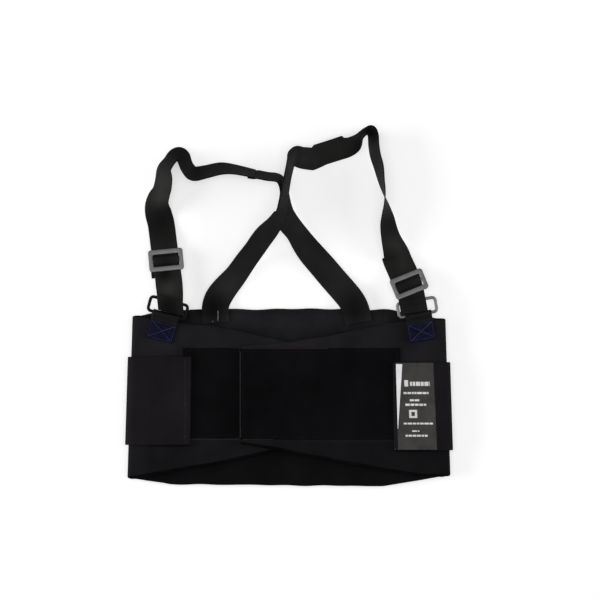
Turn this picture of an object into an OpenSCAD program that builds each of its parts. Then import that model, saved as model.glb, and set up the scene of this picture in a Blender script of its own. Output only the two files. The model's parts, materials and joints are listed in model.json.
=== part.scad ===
// Lumbar support belt with crossed shoulder straps, closed and lying flat on its back.
// Millimetres. +Z points up from the surface, +Y towards the shoulder straps,
// +X towards the wearer's left side, where the front panel on top is joined.
// The origin is the middle of the outer band's underside.

/* [Belt] */
// Half of the flat width between the two side folds, at mid height
half_w = 177; // [165:1:185]
// Height of the back panel at its tallest
belt_h = 198; // [194:1:204]
// Lean of each side fold, in degrees, narrower towards the shoulder straps
fold_lean = 1.8; // [0:0.1:2.5]
// Thickness of the ribbed elastic of the back and front panels
panel_t = 1.9; // [1.6:0.1:2.2]
// Free height between the back panel and the front panels
waist_gap = 7; // [6.5:0.1:8]

/* [Outer band] */
// Height of the outer elastic band and its two pull tabs
band_h = 98; // [90:1:102]
// Thickness of the band
band_t = 1.4; // [1.2:0.1:1.6]
// Distance from the side fold to the free end of the left pull tab
tab_len_left = 62.5; // [58:0.5:66]
// Distance from the side fold to the free end of the right pull tab
tab_len_right = 55.5; // [51:0.5:60]
// Height of the middle of the left pull tab
tab_mid_left = -3.5; // [-7:0.5:-1]
// Height of the middle of the right pull tab
tab_mid_right = -9.5; // [-12:0.5:-5]

/* [Stays] */
// Number of flexible stays in the back
stay_count = 4; // [2:1:4]
// Distance between neighbouring stays
stay_pitch = 48; // [40:1:52]
// Width of one stay
stay_w = 12; // [10:0.5:13]
// Length of one stay
stay_len = 168; // [150:1:172]
// Thickness of one stay
stay_t = 1.2; // [1:0.1:1.4]
// Width of the tape channel that holds a stay
channel_w = 19; // [17:0.5:22]

/* [Closure] */
// Height of the loop panels
loop_h = 100; // [94:1:102]
// Thickness of the loop panels with their pile
loop_t = 1.4; // [1.2:0.1:1.6]
// Thickness of the hook patches
hook_t = 0.9; // [0.7:0.1:1.1]
// Free end of the left front panel, which lies underneath
left_end_x = 10; // [0:1:14]
// Free end of the right front panel, which lies on top
right_end_x = -55; // [-58:1:-50]

/* [Shoulder straps] */
// Width of the webbing and of the elastic straps
strap_w = 30; // [28:0.5:30]
// Thickness of the webbing
web_t = 1.4; // [1.2:0.1:1.5]
// Length of the doubled adjuster webbing above the left ring
adjuster_len_left = 78; // [72:1:79]
// Length of the doubled adjuster webbing above the right ring
adjuster_len_right = 52; // [48:1:53]

/* [Rings and sliders] */
// Outer width of a ring
ring_w = 46; // [42:0.5:48]
// Distance between the middles of a ring's two long bars
ring_span = 16; // [14:0.5:17]
// Diameter of the ring wire
ring_wire = 3.5; // [3:0.1:3.6]
// Outer width of a slider
slider_w = 38; // [36:0.5:40]
// Outer height of a slider
slider_h = 24; // [22:0.5:25]
// Thickness of a slider
slider_t = 2.6; // [2:0.1:3]
// Distance from the left ring to the middle of its slider
slider_at_left = 46; // [32:1:58]
// Distance from the right ring to the middle of its slider
slider_at_right = 19.5; // [18:0.5:34]

/* [Hidden] */

LEFT = -1;
RIGHT = 1;
// Air between pieces that lie on each other but belong to different moving parts
air = 0.3;
// Running clearance of a bar inside its webbing loop
bar_play = 0.08;

// Heights of the layers, from the outer band up to the pull tabs
channel_t = 2.4;
z_back = band_t + channel_t;
z_front = z_back + panel_t + waist_gap;
z_loop = z_front + panel_t;
z_tab_hook = z_loop + loop_t + air;
z_tab = z_tab_hook + hook_t;
z_top = z_tab + band_t;
// Rise of the right front panel where it lies on the left one
overlap_rise = z_tab - z_front;
overlap_from_x = 52;
overlap_to_x = 110;

// Side folds
fold_r = (z_loop - z_back) / 2;
fold_z = (z_loop + z_back) / 2;
fold_x = half_w - fold_r;
side_top = [91, 88];
side_bottom = [-89.5, -86.5];
half_h = belt_h / 2;
// The front panels are this much shorter than the side folds at each end
front_inset = 1;
// Gap between a side fold and the front panel that it carries on into
seam_gap = 0.2;

function pick(side) = side < 0 ? 0 : 1;
function tab_len(side) = side < 0 ? tab_len_left : tab_len_right;
function tab_mid(side) = side < 0 ? tab_mid_left : tab_mid_right;
function adjuster_len(side) = side < 0 ? adjuster_len_left : adjuster_len_right;
function slider_at(side) = side < 0 ? slider_at_left : slider_at_right;
function fold_at(side, y) = side * (fold_x - y * tan(fold_lean));
function side_point(side, y) = [fold_at(side, y), y];
// A side point moved a little into the fold's wall, so that plate and fold are one solid
function welded(p) = p + [sign(p[0]) * 0.2, 0];

function panel_point(side, y) = side_point(side, y) - [side * seam_gap, 0];

// Outlines, from the left fold along the top and back along the bottom
back_outline = [
    welded(side_point(LEFT, side_top[0])), [-144, half_h - 2], [-90, half_h - 0.5], [0, half_h],
    [90, half_h - 0.7], [124, half_h - 2.5], welded(side_point(RIGHT, side_top[1])),
    welded(side_point(RIGHT, side_bottom[1])), [104, -half_h], [0, -half_h + 1], [-90, -half_h + 2],
    [-131, -half_h + 2.5], welded(side_point(LEFT, side_bottom[0]))
];
front_left_outline = [
    panel_point(LEFT, side_top[0] - front_inset), [-120, 82.5], [-80, 79.5], [-20, 66],
    [left_end_x, 61], [left_end_x, -51.5], [-17, -57], [-71, -69.5], [-148, -83],
    panel_point(LEFT, side_bottom[0] + front_inset)
];
front_right_outline = [
    panel_point(RIGHT, side_top[1] - front_inset), [124, 84], [88, 78.5], [46, 69.5],
    [0, 61.5], [right_end_x, 57.5], [right_end_x, -49], [-33, -52], [0, -58], [47, -67],
    [90, -75.5], [142, -84.5],
    panel_point(RIGHT, side_bottom[1] + front_inset)
];

// Loop panels
loop_top = 55.2;
loop_left_x = [-118, left_end_x - 2];
loop_right_x = [right_end_x + 0.6, 123.8];

// Strap tabs: middle of the sewn patch, its turn, and the distance from there to the ring's bar
tab_patch = [[-141.7, 73.4], [147.2, 73.4]];
tab_turn = [-15, 10];
tab_reach = 19.5;
patch_len = 20;
bar_z = z_loop + web_t;
roll_r = ring_wire / 2 + bar_play + web_t;

function turned(p, a) = [p[0] * cos(a) - p[1] * sin(a), p[0] * sin(a) + p[1] * cos(a)];
function ring_at(side) = tab_patch[pick(side)] + turned([0, tab_reach], tab_turn[pick(side)]);
function ring_top(side) = ring_at(side) + turned([0, ring_span], tab_turn[pick(side)]);

// Adjuster webbing: it runs straight from the ring's upper bar down to the surface
adjuster_turn = [5.5, 22];
adjuster_end_z = web_t + 0.3;
// Slack of the webbing loop: how far it reaches past the ring's upper bar, and its play at the sides
loop_slack = 12.2;
slack_play = 0.4;
function adjuster_pitch(side) = asin((bar_z - adjuster_end_z) / adjuster_len(side));

// Routes of the single straps over the surface: x, y, roll about the route and lift.
// A roll of 0 or 180 lies flat, and one of 90 stands on its edge.
webbing_left_route = [
    [-141.2, 185, 0, 1.2], [-142.8, 195, 0, 0.3], [-145.2, 204, -4, 0], [-146.2, 212.5, -14, 0],
    [-145.2, 220, -34, 0], [-142.6, 227.5, -44, 0], [-140.6, 234, -47, 0], [-139.2, 243, -50, 0],
    [-138.6, 254, -57, 0], [-133.6, 263.4, -66, 0], [-128.2, 270.4, -68, 0], [-122.6, 273, -68, 0],
    [-118.6, 269.6, -67, 0], [-117, 263.6, -65, 0], [-113.4, 255.6, -61, 0],
    [-105.6, 249.2, -57, 0], [-92, 251.4, -60, 0], [-76, 254.8, -62, 0], [-60, 253.8, -68, 0],
    [-38, 249, -71, 0]
];
elastic_right_route = [
    [-37.6, 248.9, -71, 0], [-24, 246.2, -71, 0], [-14, 245, -71, 0], [-8.8, 241.5, -72, 0],
    [-6, 234, -73, 0], [-5, 226, -71, 0], [-5, 213, -59, 0], [-4.6, 204.5, -47, 0],
    [-0.6, 195, -36, 0], [8, 184, -38, 0], [16.4, 171.5, -27, 0], [24.5, 161, -16, 0],
    [36.8, 147, -8, 0], [50, 131.5, 0, 0], [60.5, 119.5, 0, 2.4], [68.6, 109.5, 0, 5.9],
    [73.4, 101, 0, 5.9], [76.2, 92, 0, 5.9], [78, 83, 0, 5.9]
];
webbing_right_route = [
    [120.8, 156, 0, 1.2], [117.6, 164.6, 24, 0.3], [114, 175.2, 41, 0], [111.2, 187, 50, 0],
    [109.8, 197, 57, 0], [109, 206, 68, 0], [108, 217, 82, 0], [105.6, 229.4, 95, 0],
    [102.7, 242.5, 103, 0], [99.9, 257, 110, 0], [96.2, 269.6, 112, 0], [94.4, 281, 112, 0],
    [93.8, 291, 112, 0], [91.4, 297.4, 110, 0], [86, 296, 104, 0], [80, 291.5, 106, 0],
    [74.4, 285.6, 118, 0], [67, 281, 136, 0], [58, 278, 144, 0], [44, 273.6, 145, 0],
    [31, 269.2, 146, 0]
];
elastic_left_route = [
    [29, 265.6, 146, 0], [21.2, 266.2, 144, 0], [14.5, 267.2, 142, 0], [8, 269, 136, 0],
    [4.2, 267.4, 120, 0], [2.4, 263, 108, 0], [1, 257, 106, 0], [-1.4, 246, 105, 0.6],
    [-3.2, 235, 105, 5], [-4.4, 226, 106, 11.6], [-7.4, 212.4, 107, 18.7], [-10, 204.5, 113, 18.4],
    [-15.4, 195, 124, 19.6], [-26.5, 181.5, 138, 15.8], [-37, 167, 138, 4.5], [-47.4, 153, 141, 0],
    [-59, 136.5, 146, 0], [-71.6, 121.5, 160, 0.6], [-79, 110.5, 175, 3.2], [-82, 100.6, 180, 5.9],
    [-81.8, 92, 180, 5.9], [-81, 83, 180, 5.9]
];
route_steps = 3;
elastic_strap_t = 1.6;

// A closed strip that follows a route: a smooth curve through the route's points
function curve_point(a, b, c, d, t) =
    0.5 * (2 * b + (c - a) * t + (2 * a - 5 * b + 4 * c - d) * t * t
           + (3 * b - a - 3 * c + d) * t * t * t);
function smooth_route(r) = let (n = len(r) - 1) [
    for (i = [0 : n - 1], k = [0 : route_steps - 1])
        curve_point(r[max(i - 1, 0)], r[i], r[i + 1], r[min(i + 2, n)], k / route_steps),
    r[n]
];
function rest_height(roll, t) = strap_w / 2 * abs(sin(roll)) + t / 2 * abs(cos(roll));
function unit(v) = v / norm(v);
function strip_ring(centres, rolls, i, t) = let (
    n = len(centres) - 1,
    ahead = unit(centres[min(i + 1, n)] - centres[max(i - 1, 0)]),
    sideways = unit(cross([0, 0, 1], ahead)),
    upwards = cross(ahead, sideways),
    across = cos(rolls[i]) * sideways + sin(rolls[i]) * upwards,
    through = cos(rolls[i]) * upwards - sin(rolls[i]) * sideways,
    w = across * strap_w / 2,
    h = through * t / 2
) [centres[i] - w - h, centres[i] + w - h, centres[i] + w + h, centres[i] - w + h];

module strip(route, t) {
    stations = smooth_route(route);
    n = len(stations);
    centres = [for (s = stations) [s[0], s[1], s[3] + rest_height(s[2], t)]];
    rolls = [for (s = stations) s[2]];
    points = [for (i = [0 : n - 1]) each strip_ring(centres, rolls, i, t)];
    sides = [for (i = [0 : n - 2], k = [0 : 3]) let (a = 4 * i, next = (k + 1) % 4)
        each [[a + k, a + next, a + 4 + next], [a + k, a + 4 + next, a + 4 + k]]];
    ends = [[0, 3, 2], [0, 2, 1], [4 * n - 4, 4 * n - 3, 4 * n - 2], [4 * n - 4, 4 * n - 2, 4 * n - 1]];
    polyhedron(points, concat(sides, ends), convexity = 6);
}

// Frame at a side fold, with local Y along the fold and local +X outwards
module at_fold(side) {
    translate([side * fold_x, 0, 0])
        rotate([0, 0, side * fold_lean])
            children();
}

// Half of a tube along local Y, between two heights, that opens towards the belt
module fold_tube(side, mid_z, outer_r, wall, y0, y1) {
    translate([0, y1, mid_z])
        rotate([90, 0, 0])
            linear_extrude(y1 - y0)
                intersection() {
                    difference() {
                        circle(outer_r, $fn = 48);
                        circle(outer_r - wall, $fn = 48);
                    }
                    translate([side > 0 ? 0 : -outer_r - 1, -outer_r - 1])
                        square([outer_r + 1, 2 * outer_r + 2]);
                }
}

module plate(outline, z0, t) {
    translate([0, 0, z0])
        linear_extrude(t)
            polygon(outline);
}

module box_between(x, y, z) {
    translate([x[0], y[0], z[0]])
        cube([x[1] - x[0], y[1] - y[0], z[1] - z[0]]);
}

// Back panel with the two side folds that it turns into
module back_panel() {
    color([0.1, 0.1, 0.11]) {
        plate(back_outline, z_back, panel_t);
        for (side = [LEFT, RIGHT])
            at_fold(side)
                fold_tube(side, fold_z, fold_r, panel_t, side_bottom[pick(side)], side_top[pick(side)]);
    }
}

// Outer band that runs behind the back panel and round both side folds
band_r = z_top / 2;
function band_low(side) = tab_mid(side) - band_h / 2;
function band_high(side) = tab_mid(side) + band_h / 2;

module outer_band() {
    color([0.13, 0.13, 0.14]) {
        plate([welded(side_point(LEFT, band_high(LEFT))), welded(side_point(RIGHT, band_high(RIGHT))),
               welded(side_point(RIGHT, band_low(RIGHT))), welded(side_point(LEFT, band_low(LEFT)))],
              0, band_t);
        for (side = [LEFT, RIGHT])
            at_fold(side)
                fold_tube(side, band_r, band_r, band_t, band_low(side), band_high(side));
    }
}

// Stays and the tape channels that hold them on the outside of the back panel
function stay_x(i) = (i - (stay_count + 1) / 2) * stay_pitch;
stay_play = 0.1;

module stay(i) {
    color([0.75, 0.77, 0.8])
        translate([stay_x(i), 0, band_t + channel_t / 2 - stay_t / 2])
            linear_extrude(stay_t)
                for (end = [-1, 1])
                    hull() {
                        translate([0, end * (stay_len - stay_w) / 2])
                            circle(stay_w / 2, $fn = 32);
                        circle(stay_w / 2, $fn = 32);
                    }
}

module stay_channel(i) {
    pocket = [stay_w + 2 * stay_play, stay_len + 2 * stay_play, stay_t + 2 * stay_play];
    color([0.1, 0.1, 0.11])
        translate([stay_x(i), 0, band_t + channel_t / 2])
            difference() {
                cube([channel_w, stay_len + 8, channel_t], center = true);
                cube(pocket, center = true);
            }
}

// Front panels. The right one rises over the left one in a soft step.
function step_rise(x) = let (u = (overlap_to_x - x) / (overlap_to_x - overlap_from_x),
                             v = min(max(u, 0), 1)) overlap_rise * v * v * (3 - 2 * v);

module stepped_slab(x0, x1, z0, t) {
    steps = 8;
    cuts = [for (k = [0 : steps]) overlap_from_x + (overlap_to_x - overlap_from_x) * k / steps];
    along = [x0, for (c = cuts) if (c > x0 && c < x1) c, x1];
    last = len(along) - 1;
    upper = [for (x = along) [x, z0 + t + step_rise(x)]];
    lower = [for (k = [last : -1 : 0]) [along[k], z0 + step_rise(along[k])]];
    translate([0, half_h, 0])
        rotate([90, 0, 0])
            linear_extrude(belt_h)
                polygon(concat(upper, lower));
}

module front_panel_left() {
    color([0.12, 0.12, 0.13])
        plate(front_left_outline, z_front, panel_t);
}

module front_panel_right() {
    color([0.12, 0.12, 0.13])
        intersection() {
            plate(front_right_outline, z_front, panel_t + overlap_rise);
            stepped_slab(right_end_x, half_w, z_front, panel_t);
        }
}

module loop_panel_left() {
    color([0.05, 0.05, 0.06])
        box_between(loop_left_x, [loop_top - loop_h, loop_top], [z_loop, z_loop + loop_t]);
}

module loop_panel_right() {
    color([0.05, 0.05, 0.06])
        intersection() {
            box_between(loop_right_x, [loop_top - loop_h - 2, loop_top],
                        [z_front, z_loop + loop_t + overlap_rise]);
            stepped_slab(loop_right_x[0], loop_right_x[1], z_loop, loop_t);
        }
}

// Hook patches: width, and distance to the free end and to the long edges
hook_w = 43;
end_inset = 2.5;
edge_inset = 4;

// Hook panel under the free end of the right front panel
module hook_panel() {
    color([0.08, 0.08, 0.08])
        box_between([right_end_x + end_inset, right_end_x + end_inset + hook_w],
                    [loop_top - loop_h + edge_inset, loop_top - edge_inset], [z_tab_hook, z_tab]);
}

// Sewn webbing tab whose loop holds the ring's lower bar
module strap_tab(side) {
    color([0.06, 0.08, 0.18])
        translate([tab_patch[pick(side)][0], tab_patch[pick(side)][1], 0])
            rotate([0, 0, tab_turn[pick(side)]])
                difference() {
                    union() {
                        box_between([-strap_w / 2, strap_w / 2], [-patch_len / 2, tab_reach],
                                    [z_loop, z_loop + 2 * web_t]);
                        bar_cylinder([0, tab_reach, bar_z], strap_w, roll_r);
                    }
                    bar_cylinder([0, tab_reach, bar_z], strap_w + 2, ring_wire / 2 + bar_play);
                }
}

module bar_cylinder(at, length, r) {
    translate(at)
        rotate([0, 90, 0])
            cylinder(h = length, r = r, center = true, $fn = 40);
}

// Rectangular wire ring, lying flat, with its lower bar in the strap tab
module ring(side) {
    bend = ring_wire;
    half = (ring_w - ring_wire) / 2;
    at = ring_at(side);
    color([0.5, 0.5, 0.51])
        translate([at[0], at[1], bar_z])
            rotate([0, 0, tab_turn[pick(side)]]) {
                for (y = [0, ring_span])
                    bar_cylinder([0, y, 0], 2 * (half - bend), ring_wire / 2);
                for (x = [-half, half])
                    translate([x, ring_span - bend, 0])
                        rotate([90, 0, 0])
                            cylinder(h = ring_span - 2 * bend, r = ring_wire / 2, $fn = 40);
                for (corner = [[1, 1, 0], [-1, 1, 90], [-1, 0, 180], [1, 0, 270]])
                    translate([corner[0] * (half - bend), corner[1] * (ring_span - 2 * bend) + bend, 0])
                        rotate([0, 0, corner[2]])
                            rotate_extrude(angle = 90, $fn = 40)
                                translate([bend, 0])
                                    circle(ring_wire / 2, $fn = 40);
            }
}

// Frame of the adjuster webbing, with local Y along it and local Z out of its face
module at_adjuster(side) {
    top = ring_top(side);
    translate([top[0], top[1], bar_z])
        rotate([0, 0, adjuster_turn[pick(side)]])
            rotate([-adjuster_pitch(side), 0, 0])
                children();
}

// Slack end of the webbing loop: it lies level inside the ring, up to the strap tab
module loop_end(side) {
    half = min(ring_w / 2 - ring_wire - slack_play, strap_w / 2 - slack_play);
    top = ring_top(side);
    translate([top[0], top[1], bar_z])
        rotate([0, 0, tab_turn[pick(side)]])
            box_between([-half, half], [-loop_slack, 0], [-web_t, web_t]);
}

// Doubled webbing from its loop round the ring's upper bar to just past the slider
module adjuster_webbing(side) {
    skew = tab_turn[pick(side)] - adjuster_turn[pick(side)];
    top = ring_top(side);
    color([0.13, 0.13, 0.14])
        difference() {
            union() {
                at_adjuster(side)
                    box_between([-strap_w / 2, strap_w / 2], [0, adjuster_len(side)], [-web_t, web_t]);
                loop_end(side);
                translate([top[0], top[1], bar_z])
                    rotate([0, 0, tab_turn[pick(side)]])
                        bar_cylinder([0, 0, 0], strap_w / cos(skew), roll_r);
            }
            translate([top[0], top[1], bar_z])
                rotate([0, 0, tab_turn[pick(side)]])
                    bar_cylinder([0, 0, 0], ring_w, ring_wire / 2 + bar_play);
        }
}

// Three-bar slider that lies on the adjuster webbing
slider_window = [30.6, 15.5];
slider_bar = 3.2;

module slider(side) {
    corner = 3;
    slot = [slider_window[0], (slider_window[1] - slider_bar) / 2];
    color([0.5, 0.5, 0.51])
        at_adjuster(side)
            translate([0, slider_at(side), web_t + air])
                linear_extrude(slider_t)
                    difference() {
                        hull()
                            for (x = [-1, 1], y = [-1, 1])
                                translate([x * (slider_w / 2 - corner), y * (slider_h / 2 - corner)])
                                    circle(corner, $fn = 32);
                        for (y = [-1, 1])
                            translate([0, y * (slider_window[1] + slider_bar) / 4])
                                square(slot, center = true);
                    }
}

module shoulder_webbing_left() {
    color([0.13, 0.13, 0.14])
        strip(webbing_left_route, web_t);
}

module shoulder_webbing_right() {
    color([0.13, 0.13, 0.14])
        strip(webbing_right_route, web_t);
}

module elastic_strap_left() {
    color([0.16, 0.16, 0.17])
        strip(elastic_left_route, elastic_strap_t);
}

module elastic_strap_right() {
    color([0.16, 0.16, 0.17])
        strip(elastic_right_route, elastic_strap_t);
}

// Pull tab: the free end of the outer band, on top of a front panel
function tab_x(side, from_fold, y) = fold_at(side, y) - side * from_fold;

module tab_plate(side, from_fold, to_fold, low, high, z0, t) {
    plate([[tab_x(side, from_fold, high), high],
           [side * (fold_x - to_fold), high],
           [side * (fold_x - to_fold), low],
           [tab_x(side, from_fold, low), low]], z0, t);
}

module pull_tab(side) {
    color([0.13, 0.13, 0.14])
        tab_plate(side, air, tab_len(side), band_low(side), band_high(side), z_tab, band_t);
}

module pull_tab_hook(side) {
    color([0.08, 0.08, 0.08])
        tab_plate(side, tab_len(side) - end_inset - hook_w, tab_len(side) - end_inset,
                  band_low(side) + edge_inset, band_high(side) - edge_inset, z_tab_hook, hook_t);
}

// Care label on the right pull tab
label_t = 0.4;

module care_label() {
    color([0.2, 0.2, 0.2])
        plate([[118.8, band_high(RIGHT) - 0.6], [160.4, band_high(RIGHT) - 0.6],
               [164.8, band_low(RIGHT) + 0.8], [121.5, band_low(RIGHT) + 0.8]], z_top, label_t);
}

back_panel();
outer_band();
stay_channel(1);  // stay_channel_1
stay_channel(2);  // stay_channel_2
stay_channel(3);  // stay_channel_3
stay_channel(4);  // stay_channel_4
stay(1);  // stay_1
stay(2);  // stay_2
stay(3);  // stay_3
stay(4);  // stay_4
elastic_strap_left();
elastic_strap_right();
shoulder_webbing_left();
shoulder_webbing_right();
front_panel_left();
loop_panel_left();
strap_tab(LEFT);  // strap_tab_left
front_panel_right();
loop_panel_right();
hook_panel();
strap_tab(RIGHT);  // strap_tab_right
pull_tab(LEFT);  // pull_tab_left
pull_tab_hook(LEFT);  // pull_tab_hook_left
pull_tab(RIGHT);  // pull_tab_right
pull_tab_hook(RIGHT);  // pull_tab_hook_right
care_label();
ring(LEFT);  // ring_left
adjuster_webbing(LEFT);  // adjuster_webbing_left
ring(RIGHT);  // ring_right
adjuster_webbing(RIGHT);  // adjuster_webbing_right
slider(LEFT);  // slider_left
slider(RIGHT);  // slider_right
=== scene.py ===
import json
import math

import bpy
import numpy as np
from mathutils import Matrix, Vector


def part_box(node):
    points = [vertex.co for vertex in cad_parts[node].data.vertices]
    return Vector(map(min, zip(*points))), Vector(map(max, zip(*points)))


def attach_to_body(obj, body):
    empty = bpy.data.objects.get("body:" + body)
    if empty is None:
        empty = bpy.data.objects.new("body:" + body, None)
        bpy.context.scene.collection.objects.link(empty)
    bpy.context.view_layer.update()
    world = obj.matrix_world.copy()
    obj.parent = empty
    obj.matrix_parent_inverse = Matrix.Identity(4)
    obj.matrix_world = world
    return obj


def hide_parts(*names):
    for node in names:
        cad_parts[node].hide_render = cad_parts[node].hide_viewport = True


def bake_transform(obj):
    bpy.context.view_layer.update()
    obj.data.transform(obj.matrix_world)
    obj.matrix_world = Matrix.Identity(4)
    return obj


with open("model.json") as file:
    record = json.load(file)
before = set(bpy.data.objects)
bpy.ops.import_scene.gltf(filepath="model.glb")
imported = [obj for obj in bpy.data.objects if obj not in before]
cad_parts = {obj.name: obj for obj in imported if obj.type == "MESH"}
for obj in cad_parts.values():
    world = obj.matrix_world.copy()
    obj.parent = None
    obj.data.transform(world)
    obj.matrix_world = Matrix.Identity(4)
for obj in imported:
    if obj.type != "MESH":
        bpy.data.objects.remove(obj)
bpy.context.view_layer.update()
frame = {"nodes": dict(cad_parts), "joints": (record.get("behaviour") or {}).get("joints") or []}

MM = 0.001
LEFT, RIGHT = -1, 1
SIDE = {LEFT: "left", RIGHT: "right"}
UP = np.array([0.0, 0.0, 1.0])
BOTH, NEITHER = (True, True), (False, False)
rng = np.random.default_rng(11)


# ---------------------------------------------------------------- the frame, in millimetres

def low(node):
    return np.array(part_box(node)[0]) / MM


def high(node):
    return np.array(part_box(node)[1]) / MM


def free_end(node, side):
    """The x at which a front panel or a pull tab ends, near the middle of the belt."""
    return high(node)[0] if side == LEFT else low(node)[0]


def points_of(node):
    return np.array([v.co for v in frame["nodes"][node].data.vertices], float) / MM


def outline(node, xs):
    """Lowest and highest y of a CAD node at each x, from the edges of its mesh."""
    mesh = frame["nodes"][node].data
    p = points_of(node)
    pairs = np.array([e.vertices[:] for e in mesh.edges])
    a, b = p[pairs[:, 0]], p[pairs[:, 1]]
    lows, highs = [], []
    for x in xs:
        crossing = (a[:, 0] - x) * (b[:, 0] - x) <= 0
        ca, cb = a[crossing], b[crossing]
        run = np.where(abs(cb[:, 0] - ca[:, 0]) < 1e-9, 1, cb[:, 0] - ca[:, 0])
        t = np.clip((x - ca[:, 0]) / run, 0, 1)
        y = ca[:, 1] + (cb[:, 1] - ca[:, 1]) * t
        lows.append(y.min())
        highs.append(y.max())
    return np.array(lows), np.array(highs)


JOINTS = {j["name"]: j for j in frame["joints"]}
FOLD_X, _, Z_TOP = np.array(JOINTS["right_front_opens"]["pos_m"]) / MM
FOLD_AXIS = JOINTS["right_front_opens"]["axis"]
LEAN = math.atan(-FOLD_AXIS[0] / FOLD_AXIS[1])
BAND_T = low("stay_channel_1")[2]
Z_BACK = high("stay_channel_1")[2]
Z_FRONT = low("front_panel_left")[2]
Z_LOOP = high("front_panel_left")[2]
PANEL_T = Z_LOOP - Z_FRONT
LOOP_T = high("loop_panel_left")[2] - Z_LOOP
FOLD_R = (Z_LOOP - Z_BACK) / 2
FOLD_Z = (Z_LOOP + Z_BACK) / 2
BAND_R = Z_TOP / 2
RISE = high("front_panel_right")[2] - Z_LOOP
STEP_LOW_X, STEP_HIGH_X = 110.0, 52.0
WEB_T = 1.4
ELASTIC_T = 1.6
STRAP_W = 30.0
WIRE_R = 1.75
RING_SPAN = 16.0
RIB = 2.2
BODY_RELIEF = 0.085
BAND_RELIEF = 0.07
SEAM_IN = 10.0


# ---------------------------------------------------------------- small maths

def ease(t):
    t = np.clip(t, 0, 1)
    return t * t * (3 - 2 * t)


def unit(v):
    return v / np.linalg.norm(v, axis=-1, keepdims=True)


def ripple(x, y, wavelength, seed):
    """Smooth random waves between about -1 and 1."""
    r = np.random.default_rng(seed)
    total, count = 0, 7
    for _ in range(count):
        turn = r.uniform(0, math.pi)
        k = 2 * math.pi / (wavelength * r.uniform(0.7, 1.6))
        total = total + np.sin(k * (x * math.cos(turn) + y * math.sin(turn)) + r.uniform(0, 6.28))
    return total / math.sqrt(count) / 1.4


def waves(x, wavelength, seed):
    """Ripple along one line."""
    return ripple(x, 0 * x, wavelength, seed)


def inside_folds(x):
    """x, kept off the leaning ends of the outlines."""
    return np.clip(x, -FOLD_X + 4.5, FOLD_X - 4.5)


def lean_shift(x, y):
    """How far the lean of the side folds moves a point along x."""
    share = ease((abs(x) - 60) / (FOLD_X - 60))
    return -np.sign(x) * y * math.tan(LEAN) * share


def step_rise(x):
    """How high the right front lies on the left one, down to nothing near its side fold."""
    return RISE * ease((STEP_LOW_X - x) / (STEP_LOW_X - STEP_HIGH_X))


def front_drape(x, y):
    """Shared soft unevenness of the layers at the front, none near the side folds."""
    share = ease((118 - abs(x)) / 40)
    return share * (0.35 * ripple(x, y, 95, 3) + 0.15 * ripple(x, y, 34, 4))


def spread(length, step, soft=BOTH, edge=1.0):
    """Positions from 0 to length, a step apart, with a few more close to the soft ends."""
    count = max(2, round(length / step))
    places = list(np.linspace(0, length, count + 1))
    close = [0.12 * edge, 0.38 * edge, 0.8 * edge]
    if soft[0]:
        places += close
    if soft[1]:
        places += [length - c for c in close]
    return np.unique(np.round(places, 4))


def lengths(line):
    """Distance along a line of points."""
    return np.concatenate([[0], np.cumsum(np.linalg.norm(np.diff(line, axis=0), axis=1))])


def read_off(s, at, values):
    """The values that a line has at the distances s along it."""
    return np.stack([np.interp(s, at, values[:, k]) for k in range(values.shape[1])], 1)


# Spots of light (above 1) and shade (below 1) painted into the cloth's colour: x, y, reach in millimetres,
# and how much
PAINTED_LIGHT_SPOTS = [
    (-140.5, 237, 9, 1.45), (-146, 220, 7, 1.45), (-143, 196, 11, 0.45), (-138, 176, 8, 0.8),
    (-124, 271, 10, 0.10), (-99, 250, 13, 0.5), (-68, 256, 16, 0.5), (-27, 249, 16, 0.5),
    (-138, 138, 6, 0.36), (-135, 121, 8, 1.9), (-135, 105, 6, 0.5), (-6, 214, 8, 0.8),
    (-68, 125, 11, 1.5), (-85, 103, 10, 0.36), (12, 196, 12, 1.4), (70, 103, 10, 0.45),
    (3, 259, 8, 2.0), (18, 267, 8, 1.7), (62, 279, 12, 1.2), (93, 295, 8, 0.22),
    (98, 265, 9, 0.6), (103, 243, 9, 0.75), (112, 193, 9, 0.42), (120, 170, 8, 1.75),
    (127, 151, 8, 1.4), (-137, 152, 6, 0.6), (129, 124, 6, 0.8), (137, 106, 7, 0.6),
    (-133, 93, 9, 0.32), (-112, 88, 8, 0.6), (-84, 90, 8, 0.6), (76, 90, 8, 0.6), (141, 91, 6, 0.7),
]


def painted_light(points):
    """Painted light and shade: how much lighter or darker than its dye the cloth is drawn at each point."""
    x, y, z = points.T
    total = np.zeros(len(points))
    for spot_x, spot_y, reach, change in PAINTED_LIGHT_SPOTS:
        far = (x - spot_x) ** 2 + (y - spot_y) ** 2
        total += math.log(change) * np.exp(-far / (2 * reach * reach))
    # Painted shade on the back panel below the front panels' lower edges, a lighter strip near the back
    # panel's top for |x| < 110, and painted shade on the front layers below y = -45, stronger to the right.
    behind = z < Z_FRONT - 0.6
    lower = ease((-50 - y) / 12) * behind
    upper = ease((y - 72) / 10) * behind * (abs(x) < 110) * (y < 92)
    under_tabs = Z_LOOP + np.where(abs(x) < 106, 5.5, 0.6)
    foot = ease((-45 - y) / 5) * ~behind * (z < under_tabs)
    foot = foot * (0.26 + 0.22 * ease((x + 60) / 90))
    return np.exp(total) * (1 - 0.6 * lower) * (1 + 0.2 * upper) * (1 - foot)


# ---------------------------------------------------------------- meshes

def attach(piece, material, slot, body=None, blend=None, replaces=()):
    piece.data.materials.append(material)
    if blend:
        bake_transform(piece)
    else:
        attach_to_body(piece, body)
    if replaces:
        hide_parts(*replaces)


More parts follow.
